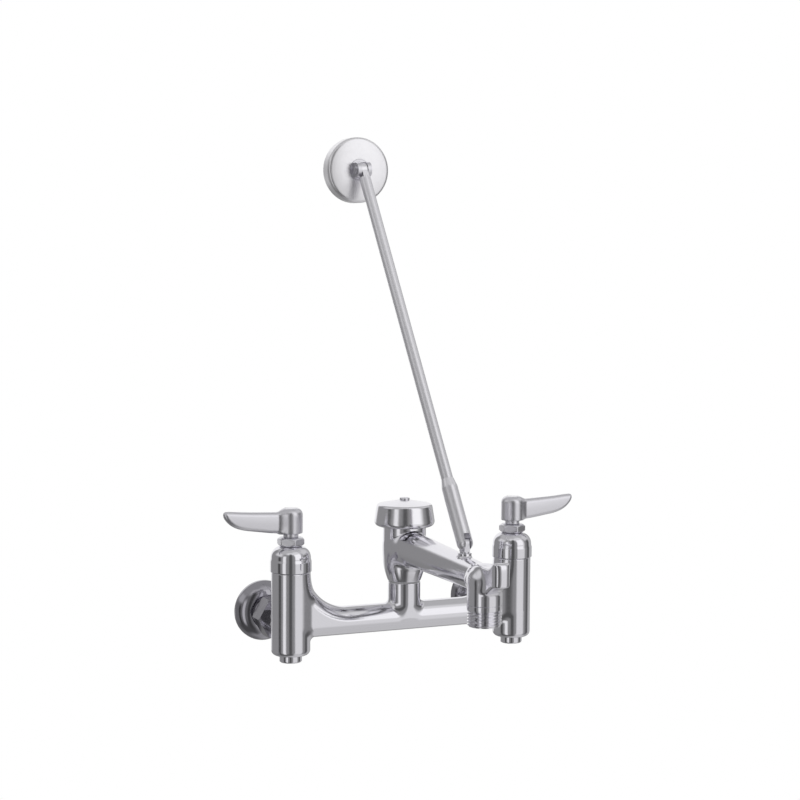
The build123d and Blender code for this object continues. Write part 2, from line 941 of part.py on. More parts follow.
with BuildPart() as hose_outlet:
    thread_top = outlet_seam - hose_shoulder
    thread_foot = thread_top - hose_thread_length
    turn(
        outlet,
        (outlet_bore, thread_foot),
        (hose_thread_radius - hose_bevel, thread_foot),
        (hose_thread_radius, thread_foot + hose_bevel),
        (hose_thread_radius, thread_top),
        (outlet_radius, thread_top),
        (outlet_radius, outlet_seam),
        (hose_spigot_radius, outlet_seam),
        (hose_spigot_radius, outlet_seam + hose_spigot_length),
        (outlet_bore, outlet_seam + hose_spigot_length),
    )
save(hose_outlet, "hose_outlet")

with BuildPart() as vent_bonnet:
    guide_bore = float_guide_radius + running
    guide_roof = washer_top + float_guide_length + float_travel + guide_air
    turn(
        riser,
        (0, guide_roof),
        (guide_bore, guide_roof),
        (guide_bore, seat_ring_foot),
        (post_radius, seat_ring_foot),
        (post_radius, vent_roof),
        (seat_ring_bore, vent_roof),
        (seat_ring_bore, seat_ring_foot),
        (chamber_bore - snug, seat_ring_foot),
        (chamber_bore - snug, body_top),
        (bonnet_plate_radius, body_top),
        (bonnet_plate_radius, bonnet_plate_height),
        (post_radius, bonnet_plate_height),
        (post_radius, post_top),
        (cap_screw_radius + snug, post_top),
        (cap_screw_radius + snug, post_top - cap_screw_length),
        (0, post_top - cap_screw_length),
    )
    with BuildSketch(level(vent_roof, 0, valve_y)) as vents:
        with PolarLocations(vent_circle, vent_count):
            Circle(vent_radius)
    extrude(vents.sketch, amount=bonnet_plate_height - vent_roof, mode=Mode.SUBTRACT)
save(vent_bonnet, "vent_bonnet")

with BuildPart() as vent_float:
    turn(
        riser,
        (0, float_foot),
        (float_radius, float_foot, edge),
        (float_radius, washer_foot),
        (float_guide_radius, washer_foot),
        (float_guide_radius, washer_top + float_guide_length),
        (0, washer_top + float_guide_length),
    )
save(vent_float, "vent_float")
save(ring(riser, float_guide_radius + snug, float_radius - free, washer_foot, washer_top), "float_washer")

with BuildPart() as vent_cap:
    turn(
        riser,
        (body_radius + cap_air_gap, cap_rim_height),
        (cap_rim_radius, cap_rim_height, cap_rim_rounding),
        (cap_shoulder_radius, cap_shoulder_height, cap_shoulder_rounding),
        (cap_button_radius, cap_crown_height),
        (cap_screw_radius + free, cap_crown_height),
        (cap_screw_radius + free, post_top),
        (cap_shoulder_radius - cap_wall, post_top),
        (cap_rim_radius - cap_wall, cap_rim_height + cap_wall, cap_rim_rounding - cap_wall),
        (body_radius + cap_air_gap, cap_rim_height + cap_wall),
    )
save(vent_cap, "vent_cap")
head = (cap_screw_head_radius, cap_screw_head_height)
grip = cap_crown_height - post_top + cap_screw_length - free
save(slotted_screw(riser, head, cap_screw_radius, cap_crown_height, grip), "cap_screw")

# The brace runs from a pin on the spout to a pin at the wall. Each fork is turned to face along it.
foot_pin = Vector(0, valve_y - brace_foot_reach, brace_pin_height)
wall_pin = Vector(-brace_offset, -brace_stand_off, brace_rise)
brace_span = (wall_pin - foot_pin).length
brace_way = (wall_pin - foot_pin).normalized()
foot_turn = atan2(-brace_way.X, brace_way.Y)
foot_hinge = Vector(cos(foot_turn), sin(foot_turn), 0)
wall_turn = atan2(-brace_way.X, brace_way.Z)
wall_hinge = Vector(cos(wall_turn), 0, sin(wall_turn))
brace_axis = Plane(origin=foot_pin, x_dir=foot_hinge, z_dir=foot_hinge.cross(brace_way))
rod_axis = Plane(origin=foot_pin, x_dir=wall_hinge, z_dir=wall_hinge.cross(brace_way))
clevis_foot = Vector(-brace_offset, 0, brace_rise)
clevis_axis = Plane(origin=clevis_foot, x_dir=wall_hinge, z_dir=wall_hinge.cross(Vector(0, -1, 0)))


def across(plane, height=0):
    """The plane square to the first direction of another, at a height along its second direction.

    Its own first direction is the other's second, so a section drawn here lies beside that axis.
    """
    origin = plane.origin + plane.y_dir * height
    return Plane(origin=origin, x_dir=plane.y_dir, z_dir=plane.x_dir)


with BuildPart() as brace_stud:
    stud_axis = Plane(origin=(0, foot_pin.Y, 0), x_dir=foot_hinge, z_dir=foot_hinge.cross(Vector(0, 0, 1)))
    shoulder_top = stud_boss_height + stud_shoulder_height
    turn(
        stud_axis,
        (0, stud_boss_height - stud_depth + free),
        (stud_radius, stud_boss_height - stud_depth + free),
        (stud_radius, stud_boss_height + snug),
        (stud_shoulder_radius, stud_boss_height + snug),
        (stud_shoulder_radius, shoulder_top),
        (0, shoulder_top),
    )
    with BuildSketch(across(stud_axis, brace_pin_height)) as tongue:
        Circle(stud_shoulder_radius)
        with Locations((-(brace_pin_height - shoulder_top) / 2, 0)):
            Rectangle(brace_pin_height - shoulder_top, 2 * stud_shoulder_radius)
        Circle(pin_radius + running, mode=Mode.SUBTRACT)
    extrude(tongue.sketch, amount=tongue_thickness / 2, both=True)
save(brace_stud, "brace_stud")

with BuildPart() as brace_sleeve:
    with BuildSketch(brace_axis) as half_section:
        with BuildLine():
            Line((0, -brace_sleeve_radius), (0, brace_sleeve_length))
            Polyline(
                (0, brace_sleeve_length),
                (brace_sleeve_radius - brace_sleeve_bevel, brace_sleeve_length),
                (brace_sleeve_radius, brace_sleeve_length - brace_sleeve_taper),
                (brace_sleeve_radius, 0),
            )
            RadiusArc((brace_sleeve_radius, 0), (0, -brace_sleeve_radius), brace_sleeve_radius)
        make_face()
    revolve(half_section.sketch, axis=Axis(brace_axis.origin, brace_axis.y_dir))
    bore(brace_axis, rod_radius + running, rod_bore_start, brace_sleeve_length)
    with BuildSketch(across(brace_axis, 0)) as slot:
        with Locations(((brace_slot_end - 2 * brace_sleeve_radius) / 2, 0)):
            Rectangle(brace_slot_end + 2 * brace_sleeve_radius, 4 * brace_sleeve_radius)
    extrude(slot.sketch, amount=tongue_thickness / 2 + free, both=True, mode=Mode.SUBTRACT)
    with BuildSketch(across(brace_axis, 0)) as pin_hole:
        Circle(pin_radius + snug)
    extrude(pin_hole.sketch, amount=brace_sleeve_radius, both=True, mode=Mode.SUBTRACT)
    screw_seat = brace_axis.origin + brace_axis.y_dir * (brace_sleeve_length - set_screw_from_end)
    with BuildSketch(Plane(origin=screw_seat, z_dir=brace_axis.z_dir * -1)) as screw_hole:
        Circle(set_screw_radius + snug)
    extrude(screw_hole.sketch, amount=brace_sleeve_radius, mode=Mode.SUBTRACT)
save(brace_sleeve, "brace_sleeve")

with BuildPart() as sleeve_pin:
    with BuildSketch(across(brace_axis, 0)) as section:
        Circle(pin_radius)
    extrude(section.sketch, amount=sqrt(brace_sleeve_radius**2 - pin_radius**2), both=True)
save(sleeve_pin, "sleeve_pin")

with BuildPart() as sleeve_set_screw:
    start = screw_seat + brace_axis.z_dir * -(rod_radius + 2 * running)
    with BuildSketch(Plane(origin=start, z_dir=brace_axis.z_dir * -1)) as section:
        Circle(set_screw_radius)
    extrude(section.sketch, amount=brace_sleeve_radius - rod_radius - 4 * running)
save(sleeve_set_screw, "sleeve_set_screw")

with BuildPart() as brace_rod:
    turn(
        rod_axis,
        (0, rod_start),
        (rod_radius, rod_start, edge),
        (rod_radius, brace_span - rod_eye_neck, edge),
        (0, brace_span - rod_eye_neck),
    )
    with BuildSketch(across(rod_axis, brace_span)) as eye:
        Circle(rod_eye_radius)
        with Locations((-(rod_eye_neck + rod_eye_root) / 2, 0)):
            Rectangle(rod_eye_neck + rod_eye_root, 2 * rod_eye_half_width)
        Circle(pin_radius + running, mode=Mode.SUBTRACT)
    extrude(eye.sketch, amount=tongue_thickness / 2, both=True)
save(brace_rod, "brace_rod")

with BuildPart() as brace_clevis:
    hub_reach = brace_flange_depth + clevis_hub_proud
    turn(
        clevis_axis,
        (0, wall_screw_depth),
        (wall_screw_radius, wall_screw_depth),
        (wall_screw_radius, 0),
        (clevis_hub_radius, 0),
        (clevis_hub_radius, hub_reach),
        (0, hub_reach),
    )
    for way in (-1, 1):
        inner_face = tongue_thickness / 2 + free
        ear_plane = across(clevis_axis, brace_stand_off)
        ear_plane = ear_plane.offset(way * inner_face)
        with BuildSketch(ear_plane) as ear:
            Circle(ear_radius)
            with Locations((-(brace_stand_off - hub_reach) / 2, 0)):
                Rectangle(brace_stand_off - hub_reach, 2 * ear_radius)
            Circle(pin_radius + snug, mode=Mode.SUBTRACT)
        extrude(ear.sketch, amount=way * ear_thickness)
save(brace_clevis, "brace_clevis")

with BuildPart() as clevis_pin:
    with BuildSketch(across(clevis_axis, brace_stand_off)) as section:
        Circle(pin_radius)
    extrude(section.sketch, amount=tongue_thickness / 2 + free + ear_thickness, both=True)
    for way in (-1, 1):
        head_plane = across(clevis_axis, brace_stand_off)
        head_plane = head_plane.offset(way * (tongue_thickness / 2 + free + ear_thickness))
        with BuildSketch(head_plane) as head:
            Circle(pin_head_radius)
        extrude(head.sketch, amount=way * pin_head_thickness)
save(clevis_pin, "clevis_pin")

with BuildPart() as brace_flange:
    inner_radius = brace_flange_radius - brace_flange_wall
    turn(
        clevis_axis,
        (brace_flange_radius, 0),
        (brace_flange_radius, brace_flange_depth, brace_flange_rounding),
        (clevis_hub_radius + snug, brace_flange_depth),
        (clevis_hub_radius + snug, brace_flange_depth - brace_flange_wall),
        (inner_radius, brace_flange_depth - brace_flange_wall, brace_flange_rounding - brace_flange_wall),
        (inner_radius, 0),
    )
save(brace_flange, "brace_flange")
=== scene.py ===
import bpy
import numpy as np
from mathutils import Matrix, Vector


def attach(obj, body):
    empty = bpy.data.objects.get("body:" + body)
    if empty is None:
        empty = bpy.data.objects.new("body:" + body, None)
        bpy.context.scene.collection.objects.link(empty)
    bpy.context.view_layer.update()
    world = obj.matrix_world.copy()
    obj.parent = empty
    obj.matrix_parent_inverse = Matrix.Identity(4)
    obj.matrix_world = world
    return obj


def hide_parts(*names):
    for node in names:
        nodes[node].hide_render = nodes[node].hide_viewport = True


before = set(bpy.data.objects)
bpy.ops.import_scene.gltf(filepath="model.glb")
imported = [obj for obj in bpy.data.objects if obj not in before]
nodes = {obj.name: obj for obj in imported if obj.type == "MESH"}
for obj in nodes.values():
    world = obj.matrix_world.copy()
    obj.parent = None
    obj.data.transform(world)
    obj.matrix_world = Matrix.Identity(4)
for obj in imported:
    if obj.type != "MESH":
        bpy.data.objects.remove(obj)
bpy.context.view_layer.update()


# Camera. The photograph was taken from the left, in front and a little above, with a long lens.
# Its place was solved from the inlets' spacing and the outline of every piece.
camera_place = Vector((-0.61726, -1.45012, 0.30069))
camera_azimuth = np.radians(23.9)
camera_pitch = np.radians(4.49)
camera_roll = np.radians(0.34)
camera_focal = 81.87
camera_sensor = 36.0

look = Vector(
    (
        np.sin(camera_azimuth) * np.cos(camera_pitch),
        np.cos(camera_azimuth) * np.cos(camera_pitch),
        -np.sin(camera_pitch),
    )
)
level_right = Vector((np.cos(camera_azimuth), -np.sin(camera_azimuth), 0))
level_up = level_right.cross(look)
right = level_right * np.cos(camera_roll) + level_up * np.sin(camera_roll)
up = level_up * np.cos(camera_roll) - level_right * np.sin(camera_roll)

lens = bpy.data.cameras.new("camera")
lens.sensor_width = camera_sensor
lens.lens = camera_focal
lens.clip_start = 0.05
lens.clip_end = 50
camera = bpy.data.objects.new("camera", lens)
camera_axes = Matrix((right, up, -look)).transposed()
camera.matrix_world = Matrix.Translation(camera_place) @ camera_axes.to_4x4()
bpy.context.scene.collection.objects.link(camera)
bpy.context.scene.camera = camera
bpy.context.scene.view_settings.view_transform = "Standard"


# Body casting: two valve barrels, the bridge and the riser boss, cast in brass in one piece, ground,
# polished and chrome plated. Buffing leaves a faint haze and a very slow waviness in the mirror.


def new_group(name, inputs, outputs):
    """An empty shader group with float inputs, given as name and default, and its outputs."""
    group = bpy.data.node_groups.new(name, "ShaderNodeTree")
    for label, default in inputs:
        socket = group.interface.new_socket(label, in_out="INPUT", socket_type="NodeSocketFloat")
        socket.default_value = default
    for label, kind in outputs:
        group.interface.new_socket(label, in_out="OUTPUT", socket_type=kind)
    return group, group.nodes.new("NodeGroupInput"), group.nodes.new("NodeGroupOutput")


def buffed_surface():
    """Haze and waviness left by buffing: two noises in object space, one coarse for the slow
    waviness of a ground casting and one fine for the haze that breaks a mirror's sharpness."""
    group, given, result = new_group(
        "buffed_surface",
        [("Waviness Scale", 60.0), ("Haze Scale", 420.0), ("Clear", 0.05), ("Hazy", 0.12)],
        [("Roughness", "NodeSocketFloat"), ("Height", "NodeSocketFloat")],
    )
    make, link = group.nodes.new, group.links.new
    place = make("ShaderNodeTexCoord")
    waves = make("ShaderNodeTexNoise")
    waves.inputs["Detail"].default_value = 2.0
    haze = make("ShaderNodeTexNoise")
    haze.inputs["Detail"].default_value = 4.0
    spread = make("ShaderNodeMapRange")
    spread.inputs["From Min"].default_value = 0.3
    spread.inputs["From Max"].default_value = 0.7
    link(place.outputs["Object"], waves.inputs["Vector"])
    link(place.outputs["Object"], haze.inputs["Vector"])
    link(given.outputs["Waviness Scale"], waves.inputs["Scale"])
    link(given.outputs["Haze Scale"], haze.inputs["Scale"])
    link(haze.outputs["Fac"], spread.inputs["Value"])
    link(given.outputs["Clear"], spread.inputs["To Min"])
    link(given.outputs["Hazy"], spread.inputs["To Max"])
    link(spread.outputs["Result"], result.inputs["Roughness"])
    link(waves.outputs["Fac"], result.inputs["Height"])
    return group


def chrome_plate(name, clear, hazy, wave_scale, wave_depth, tint):
    """Chrome plate: a metal with a cool tint, whose roughness drifts between clear and hazy and whose
    mirror wavers by wave_depth metres."""
    material = bpy.data.materials.new(name)
    material.use_nodes = True
    tree = material.node_tree
    shader = tree.nodes["Principled BSDF"]
    shader.inputs["Metallic"].default_value = 1.0
    shader.inputs["Base Color"].default_value = (*tint, 1)
    surface = tree.nodes.new("ShaderNodeGroup")
    surface.node_tree = bpy.data.node_groups.get("buffed_surface") or buffed_surface()
    surface.inputs["Waviness Scale"].default_value = wave_scale
    surface.inputs["Clear"].default_value = clear
    surface.inputs["Hazy"].default_value = hazy
    bump = tree.nodes.new("ShaderNodeBump")
    bump.inputs["Distance"].default_value = wave_depth
    tree.links.new(surface.outputs["Roughness"], shader.inputs["Roughness"])
    tree.links.new(surface.outputs["Height"], bump.inputs["Height"])
    tree.links.new(bump.outputs["Normal"], shader.inputs["Normal"])
    return material


def soft_join(first, second, radius):
    """Two solids, given as distance fields, joined with a round fillet: the smaller distance, less
    what a quarter circle of that radius takes off where both are near."""
    near = np.hypot(np.maximum(radius - first, 0), np.maximum(radius - second, 0))
    return np.maximum(radius, np.minimum(first, second)) - near


def soft_cut(first, second, radius):
    """What two solids have in common, with its edge rounded."""
    return -soft_join(-first, -second, radius)


def nearest(*distances):
    """The least of several distances: what their solids cover together, joined with no fillet."""
    return np.minimum.reduce(np.broadcast_arrays(*distances))


def smooth_step(share):
    """A share from 0 to 1 eased to start and end level: three times its square less twice its cube."""
    return share**2 * (3 - 2 * share)


def upright_post(x, y, z, radius, low, high, rounding):
    """Distance to a post of a radius round x = y = 0, from low to high, with rounded rims: outside a
    rim it is the distance to the rim's own circle, elsewhere that to the nearer of side and end."""
    side = np.hypot(x, y) - radius + rounding
    end = np.abs(z - (low + high) / 2) - (high - low) / 2 + rounding
    outside = np.hypot(np.maximum(side, 0), np.maximum(end, 0))
    return outside + np.minimum(np.maximum(side, end), 0) - rounding


def slope_of(field, points, step=0.01):
    """How fast a field grows along x, y and z at each point, from its value a step to either side."""
    shifts = np.eye(3) * step
    rises = [field(*(points + shift).T) - field(*(points - shift).T) for shift in shifts]
    return np.stack(rises, axis=1) / (2 * step)


def show_mesh(name, points, faces, material, normals=None):
    """An object from points in millimetres and faces, smooth, with its material."""
    mesh = bpy.data.meshes.new(name)
    mesh.from_pydata(points * 0.001, [], faces)
    mesh.shade_smooth()
    mesh.materials.append(material)
    if normals is not None:
        mesh.normals_split_custom_set_from_vertices(normals)
    piece = bpy.data.objects.new(name, mesh)
    bpy.context.scene.collection.objects.link(piece)
    return piece


def cast_piece(name, field, low, high, pitch, material):
    """The surface where a distance field is nought, found on a grid of cells, in millimetres.

    A cell that the surface passes through has one point: the mean of the places where its edges cross
    the surface, moved down the field's slope onto it by its value over that slope, a few times over.
    Each crossed grid edge makes a quad of the four cells round it. The normals are the field's slope.
    """
    moves, least_steepness = 4, 0.04
    axes = [np.arange(start, end + pitch, pitch) for start, end in zip(low, high)]
    grid = np.meshgrid(*axes, indexing="ij", sparse=True)
    shape = tuple(len(axis) for axis in axes)
    values = np.broadcast_to(field(*grid), shape)
    cells = tuple(count - 1 for count in shape)
    total, count = np.zeros((*cells, 3)), np.zeros(cells)
    edges = []
    for a in range(3):
        b, c = (a + 1) % 3, (a + 2) % 3
        along = np.moveaxis(values, (a, b, c), (0, 1, 2))
        start, end = along[:-1], along[1:]
        crossed = (start < 0) != (end < 0)
        share = np.where(crossed, start / np.where(crossed, start - end, 1), 0)
        place = (
            crossed * (axes[a][:-1, None, None] + share * pitch),
            crossed * axes[b][None, :, None],
            crossed * axes[c][None, None, :],
        )
        turned = np.moveaxis(total, (a, b, c), (0, 1, 2))
        tally = np.moveaxis(count, (a, b, c), (0, 1, 2))
        for j in (0, 1):
            for k in (0, 1):
                part = (slice(None), slice(j, shape[b] - 1 + j), slice(k, shape[c] - 1 + k))
                for axis, coordinate in zip((a, b, c), place):
                    turned[..., axis] += coordinate[part]
                tally += crossed[part]
        edges.append((crossed, start < 0))
    used = count > 0
    points = total[used] / count[used, None]
    number = np.zeros(cells, int)
    number[used] = np.arange(len(points))
    faces = []
    for a, (crossed, solid_first) in enumerate(edges):
        order = np.moveaxis(number, (a, (a + 1) % 3, (a + 2) % 3), (0, 1, 2))
        i, j, k = np.nonzero(crossed[:, 1:-1, 1:-1])
        corners = (order[i, j, k], order[i, j + 1, k], order[i, j + 1, k + 1], order[i, j, k + 1])
        ring = np.stack(corners, axis=1)
        outward = solid_first[:, 1:-1, 1:-1][i, j, k]
        faces.append(np.where(outward[:, None], ring, ring[:, ::-1]))
    for _ in range(moves):
        slope = slope_of(field, points)
        steepness = np.maximum((slope**2).sum(axis=1), least_steepness)
        points = points - slope * (field(*points.T) / steepness)[:, None]
    slope = slope_of(field, points)
    normals = slope / np.linalg.norm(slope, axis=1, keepdims=True)
    return show_mesh(name, points, np.concatenate(faces), material, normals)


wall_to_valves = 68.0
valve_x = 101.6
barrel_radius = 16.1
barrel_top = 44.0
barrel_foot = -25.0
barrel_rim = 0.8
barrel_foot_chamfer = 2.6
barrel_foot_rounding = 1.2
barrel_fillet = 4.2
bridge_radius = 11.8
horn_start = 52.5
horn_reach = 36.0
horn_height = 37.0
horn_end = 41.0
riser_radius = 13.6
riser_top = 29.0
riser_rim = 0.6
riser_root_depth = 11.4
riser_root_foot = -2.0
riser_root_rise = 14.0
riser_fillet = 4.0
arm_radius = 12.5
arm_reach = 34.0
arm_rim = 0.6
arm_fillet = 2.0
# The bores, each with its radius and both ends: in a barrel from the top, the bonnet's thread, the
# cartridge's seat, the way up to it and the stop; then the ways in from the wall, up and across.
valve_bores = [(12.9, 29.0, 50.0), (12.4, 8.0, 30.0), (4.5, 0.0, 10.0), (7.45, -30.0, 3.0)]
inlet_bore = (4.0, 0.0, 40.0)
inlet_bore_height = -1.6
riser_bore = (8.5, 0.0, 40.0)
bridge_bore = (6.5, -1.0, 72.0)
bore_rim = 0.1


def bridge_field(x, y, z):
    """Distance to the bridge: a round bar that grows upwards into a horn. Its upper edge is level as
    far as the horn's start, then the lower quarter of an ellipse, whose distance is its value over
    the slope of that value. The long edges are rounded by the bar's own radius."""
    least_slope = 1e-4
    ahead = np.maximum(x - horn_start, 0)
    below = np.minimum(z - bridge_radius - horn_height, 0)
    value = np.hypot(ahead / horn_reach, below / horn_height)
    slope = np.maximum(np.hypot(ahead / horn_reach**2, below / horn_height**2), least_slope)
    top = value * (1 - value) / slope
    across = soft_cut(np.maximum(top, -z - bridge_radius), np.abs(y) - bridge_radius, bridge_radius)
    return np.maximum(across, np.maximum(x - valve_x, z - horn_end))


def body_bores(x, y, z):
    """Distance to the waterways and chambers that are bored in the casting: the least of the distances
    to a post for each, which stands up or lies along x or y."""
    out = x - valve_x
    return nearest(
        *[upright_post(out, y, z, *bore, bore_rim) for bore in valve_bores],
        upright_post(out, z - inlet_bore_height, y, *inlet_bore, bore_rim),
        upright_post(x, y, z, *riser_bore, bore_rim),
        upright_post(y, z, x, *bridge_bore, bore_rim),
    )


def body_field(x, y, z):
    """Distance to the body casting, which is the same on both sides of the middle. The barrel's foot is
    cut back by a cone of 45 degrees, and the riser is slimmer from front to back where it starts."""
    x, y = np.abs(x), y + wall_to_valves
    out = x - valve_x
    barrel = upright_post(out, y, z, barrel_radius, barrel_foot, barrel_top, barrel_rim)
    chamfer = (np.hypot(out, y) - z - barrel_radius + barrel_foot + barrel_foot_chamfer) / np.sqrt(2)
    barrel = soft_cut(barrel, chamfer, barrel_foot_rounding)
    rise = smooth_step(np.clip((z - riser_root_foot) / riser_root_rise, 0, 1))
    deep = riser_root_depth + (riser_radius - riser_root_depth) * rise
    riser = upright_post(x, y * riser_radius / deep, z, riser_radius, 0, riser_top, riser_rim)
    arm = upright_post(out, z, y, arm_radius, 0, arm_reach, arm_rim)
    solid = soft_join(bridge_field(x, y, z), riser, riser_fillet)
    solid = soft_join(solid, soft_join(barrel, arm, arm_fillet), barrel_fillet)
    return np.maximum(solid, -body_bores(x, y, z))


chrome_tint = (0.86, 0.85, 0.895)
cast_chrome = chrome_plate("cast_chrome", 0.08, 0.15, 45.0, 0.00008, chrome_tint)
box = (-119.0, -85.0, -26.0), (119.0, -33.0, 45.0)
body_pitch = 0.9
body_casting = cast_piece("body_casting", body_field, *box, body_pitch, cast_chrome)
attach(body_casting, "faucet")
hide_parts("faucet_body")


# Inlets: a tapped shank and its union nut behind each valve, and a deep spun flange that covers the
# hole in the wall. The flanges are thin pressed brass, polished and plated on the outside.


def finish_node(material, *names):
    """Gives CAD nodes their material in place of the plain one that they came with."""
    for name in names:
        slots = nodes[name].data.materials
        slots.clear()
        slots.append(material)


def pair(*names):
    """The left and right node of each name."""
    return [f"{side}_{name}" for side in ("left", "right") for name in names]


# The tint, far darker than the other chrome's, is painted shade on the flanges, shanks and union nuts.
painted_shade_chrome = chrome_plate("painted_shade_chrome", 0.07, 0.14, 70.0, 0.00006, (0.44, 0.43, 0.47))
finish_node(painted_shade_chrome, *pair("wall_flange", "inlet_shank", "union_nut"))


# Integral stops: a turned brass plug in each barrel's foot, with a slot for a screwdriver. A plated
# brass bush is screwed in round it and holds it.
turned_chrome = chrome_plate("turned_chrome", 0.04, 0.09, 80.0, 0.00004, chrome_tint)
finish_node(turned_chrome, *pair("stop_nut"))


def machined_brass():
    """Bare turned brass: a warm metal with fine rings round the upright, which are a noise squeezed
    along it."""
    ring_grain = (60, 60, 2600)
    material = bpy.data.materials.new("machined_brass")
    material.use_nodes = True
    tree = material.node_tree
    shader = tree.nodes["Principled BSDF"]
    shader.inputs["Metallic"].default_value = 1.0
    place = tree.nodes.new("ShaderNodeTexCoord")
    stretch = tree.nodes.new("ShaderNodeMapping")
    stretch.inputs["Scale"].default_value = ring_grain
    grain = tree.nodes.new("ShaderNodeTexNoise")
    grain.inputs["Scale"].default_value = 1.0
    colours = tree.nodes.new("ShaderNodeValToRGB")
    colours.color_ramp.elements[0].color = (0.50, 0.34, 0.13, 1)
    colours.color_ramp.elements[1].color = (0.76, 0.58, 0.30, 1)
    rough = tree.nodes.new("ShaderNodeMapRange")
    rough.inputs["To Min"].default_value = 0.22
    rough.inputs["To Max"].default_value = 0.42
    tree.links.new(place.outputs["Object"], stretch.inputs["Vector"])
    tree.links.new(stretch.outputs["Vector"], grain.inputs["Vector"])
    tree.links.new(grain.outputs["Fac"], colours.inputs["Fac"])
    tree.links.new(grain.outputs["Fac"], rough.inputs["Value"])
    tree.links.new(colours.outputs["Color"], shader.inputs["Base Color"])
    tree.links.new(rough.outputs["Result"], shader.inputs["Roughness"])
    return material


brass = machined_brass()
finish_node(brass, *pair("stop_plug"))


# Quarter-turn cartridges: two lapped white ceramic discs in a brass sleeve, with the stem that turns
# the upper disc, and black rubber seals. They are hidden inside the barrels.


def mottled(name, dark, light, scale, rough_low, rough_high, grain_depth):
    """A moulded or lapped surface: its colour drifts from dark to light and its roughness from low to
    high over a fine noise of a scale, which also raises it by grain_depth metres."""
    material = bpy.data.materials.new(name)
    material.use_nodes = True
    tree = material.node_tree
    shader = tree.nodes["Principled BSDF"]
    place = tree.nodes.new("ShaderNodeTexCoord")
    grain = tree.nodes.new("ShaderNodeTexNoise")
    grain.inputs["Scale"].default_value = scale
    grain.inputs["Detail"].default_value = 3.0
    colours = tree.nodes.new("ShaderNodeValToRGB")
    colours.color_ramp.elements[0].color = (*dark, 1)
    colours.color_ramp.elements[1].color = (*light, 1)
    rough = tree.nodes.new("ShaderNodeMapRange")
    rough.inputs["To Min"].default_value = rough_low
    rough.inputs["To Max"].default_value = rough_high
    bump = tree.nodes.new("ShaderNodeBump")
    bump.inputs["Distance"].default_value = grain_depth
    tree.links.new(place.outputs["Object"], grain.inputs["Vector"])
    tree.links.new(grain.outputs["Fac"], colours.inputs["Fac"])
    tree.links.new(grain.outputs["Fac"], rough.inputs["Value"])
    tree.links.new(grain.outputs["Fac"], bump.inputs["Height"])
    tree.links.new(colours.outputs["Color"], shader.inputs["Base Color"])
    tree.links.new(rough.outputs["Result"], shader.inputs["Roughness"])
    tree.links.new(bump.outputs["Normal"], shader.inputs["Normal"])
    return material


ceramic_dark, ceramic_light = (0.80, 0.80, 0.78), (0.90, 0.90, 0.88)
ceramic = mottled("lapped_ceramic", ceramic_dark, ceramic_light, 500, 0.12, 0.2, 0.000005)
rubber_dark, rubber_light = (0.012, 0.012, 0.014), (0.035, 0.035, 0.038)
rubber = mottled("seal_rubber", rubber_dark, rubber_light, 700, 0.5, 0.7, 0.00002)
finish_node(ceramic, *pair("fixed_disc", "moving_disc"))
finish_node(rubber, *pair("seat_gasket", "bonnet_gasket", "stem_packing", "union_washer"))
finish_node(brass, *pair("cartridge_sleeve", "stem"))


# Bonnets and packing nuts: turned from brass bar, polished and plated. The bell of the bonnet grows
# out of a collar that screws down on the barrel; the six-sided nut on its neck has bevelled corners.
bonnet_corners = [
    (8.4, 33.0, 0),
    (12.85, 33.0, 0),
    (12.85, 45.2, 0),
    (16.3, 45.2, 0),
    (16.3, 44.2, 0),
    (17.1, 44.2, 0.35),
    (17.1, 52.6, 1.6),
    (16.5, 54.8, 2.2),
    (16.5, 65.1, 9.4),
    (7.5, 65.1, 0.8),
    (7.5, 69.7, 0.3),
    (5.9, 69.7, 0),
    (5.9, 61.7, 0),
    (4.05, 61.7, 0),
    (4.05, 45.2, 0),
    (8.4, 45.2, 0),
]
nut_foot = 65.15
nut_top = 72.3
nut_flat = 10.0
nut_turn = 27.0
nut_corner = 11.3
nut_bevel_radius = 8.9
nut_bevel_slope = 1.5
nut_ease = 0.8
nut_inside = 9.0
nut_corners = [
    (7.55, nut_foot, 0),
    (11.55, nut_foot, 0),
    (11.55, nut_top, 0),
    (4.05, nut_top, 0.3),
    (4.05, 68.5, 0),
    (5.85, 68.5, 0),
    (5.85, 70.7, 0),
    (7.55, 70.7, 0),
]
fillet_points = 12
sharp_edge = np.radians(38)


def rounded_profile(corners, longest=1.4):
    """A closed profile of radius and height. A corner with a third number is rounded by a fillet of
    that radius, and the runs between are divided into equal steps no longer than the longest."""
    places = np.array([corner[:2] for corner in corners], float)
    line = []
    for index, (_, _, radius) in enumerate(corners):
        here = places[index]
        back, ahead = places[index - 1] - here, places[(index + 1) % len(corners)] - here
        back, ahead = back / np.linalg.norm(back), ahead / np.linalg.norm(ahead)
        half = np.arccos(np.clip(back @ ahead, -1, 1)) / 2
        if radius == 0:
            line.append(here[None])
            continue
        middle = here + (back + ahead) / np.linalg.norm(back + ahead) * radius / np.sin(half)
        start = here + back * radius / np.tan(half) - middle
        end = here + ahead * radius / np.tan(half) - middle
        share = np.linspace(0, 1, fillet_points)[:, None]
        turn = np.pi - 2 * half
        arc = (start * np.sin((1 - share) * turn) + end * np.sin(share * turn)) / np.sin(turn)
        line.append(middle + arc)
    line = np.concatenate(line)
    following = np.roll(line, -1, axis=0)
    steps = np.maximum(np.ceil(np.linalg.norm(following - line, axis=1) / longest).astype(int), 1)
    share = np.concatenate([np.arange(count) / count for count in steps])[:, None]
    return np.repeat(line, steps, axis=0) * (1 - share) + np.repeat(following, steps, axis=0) * share


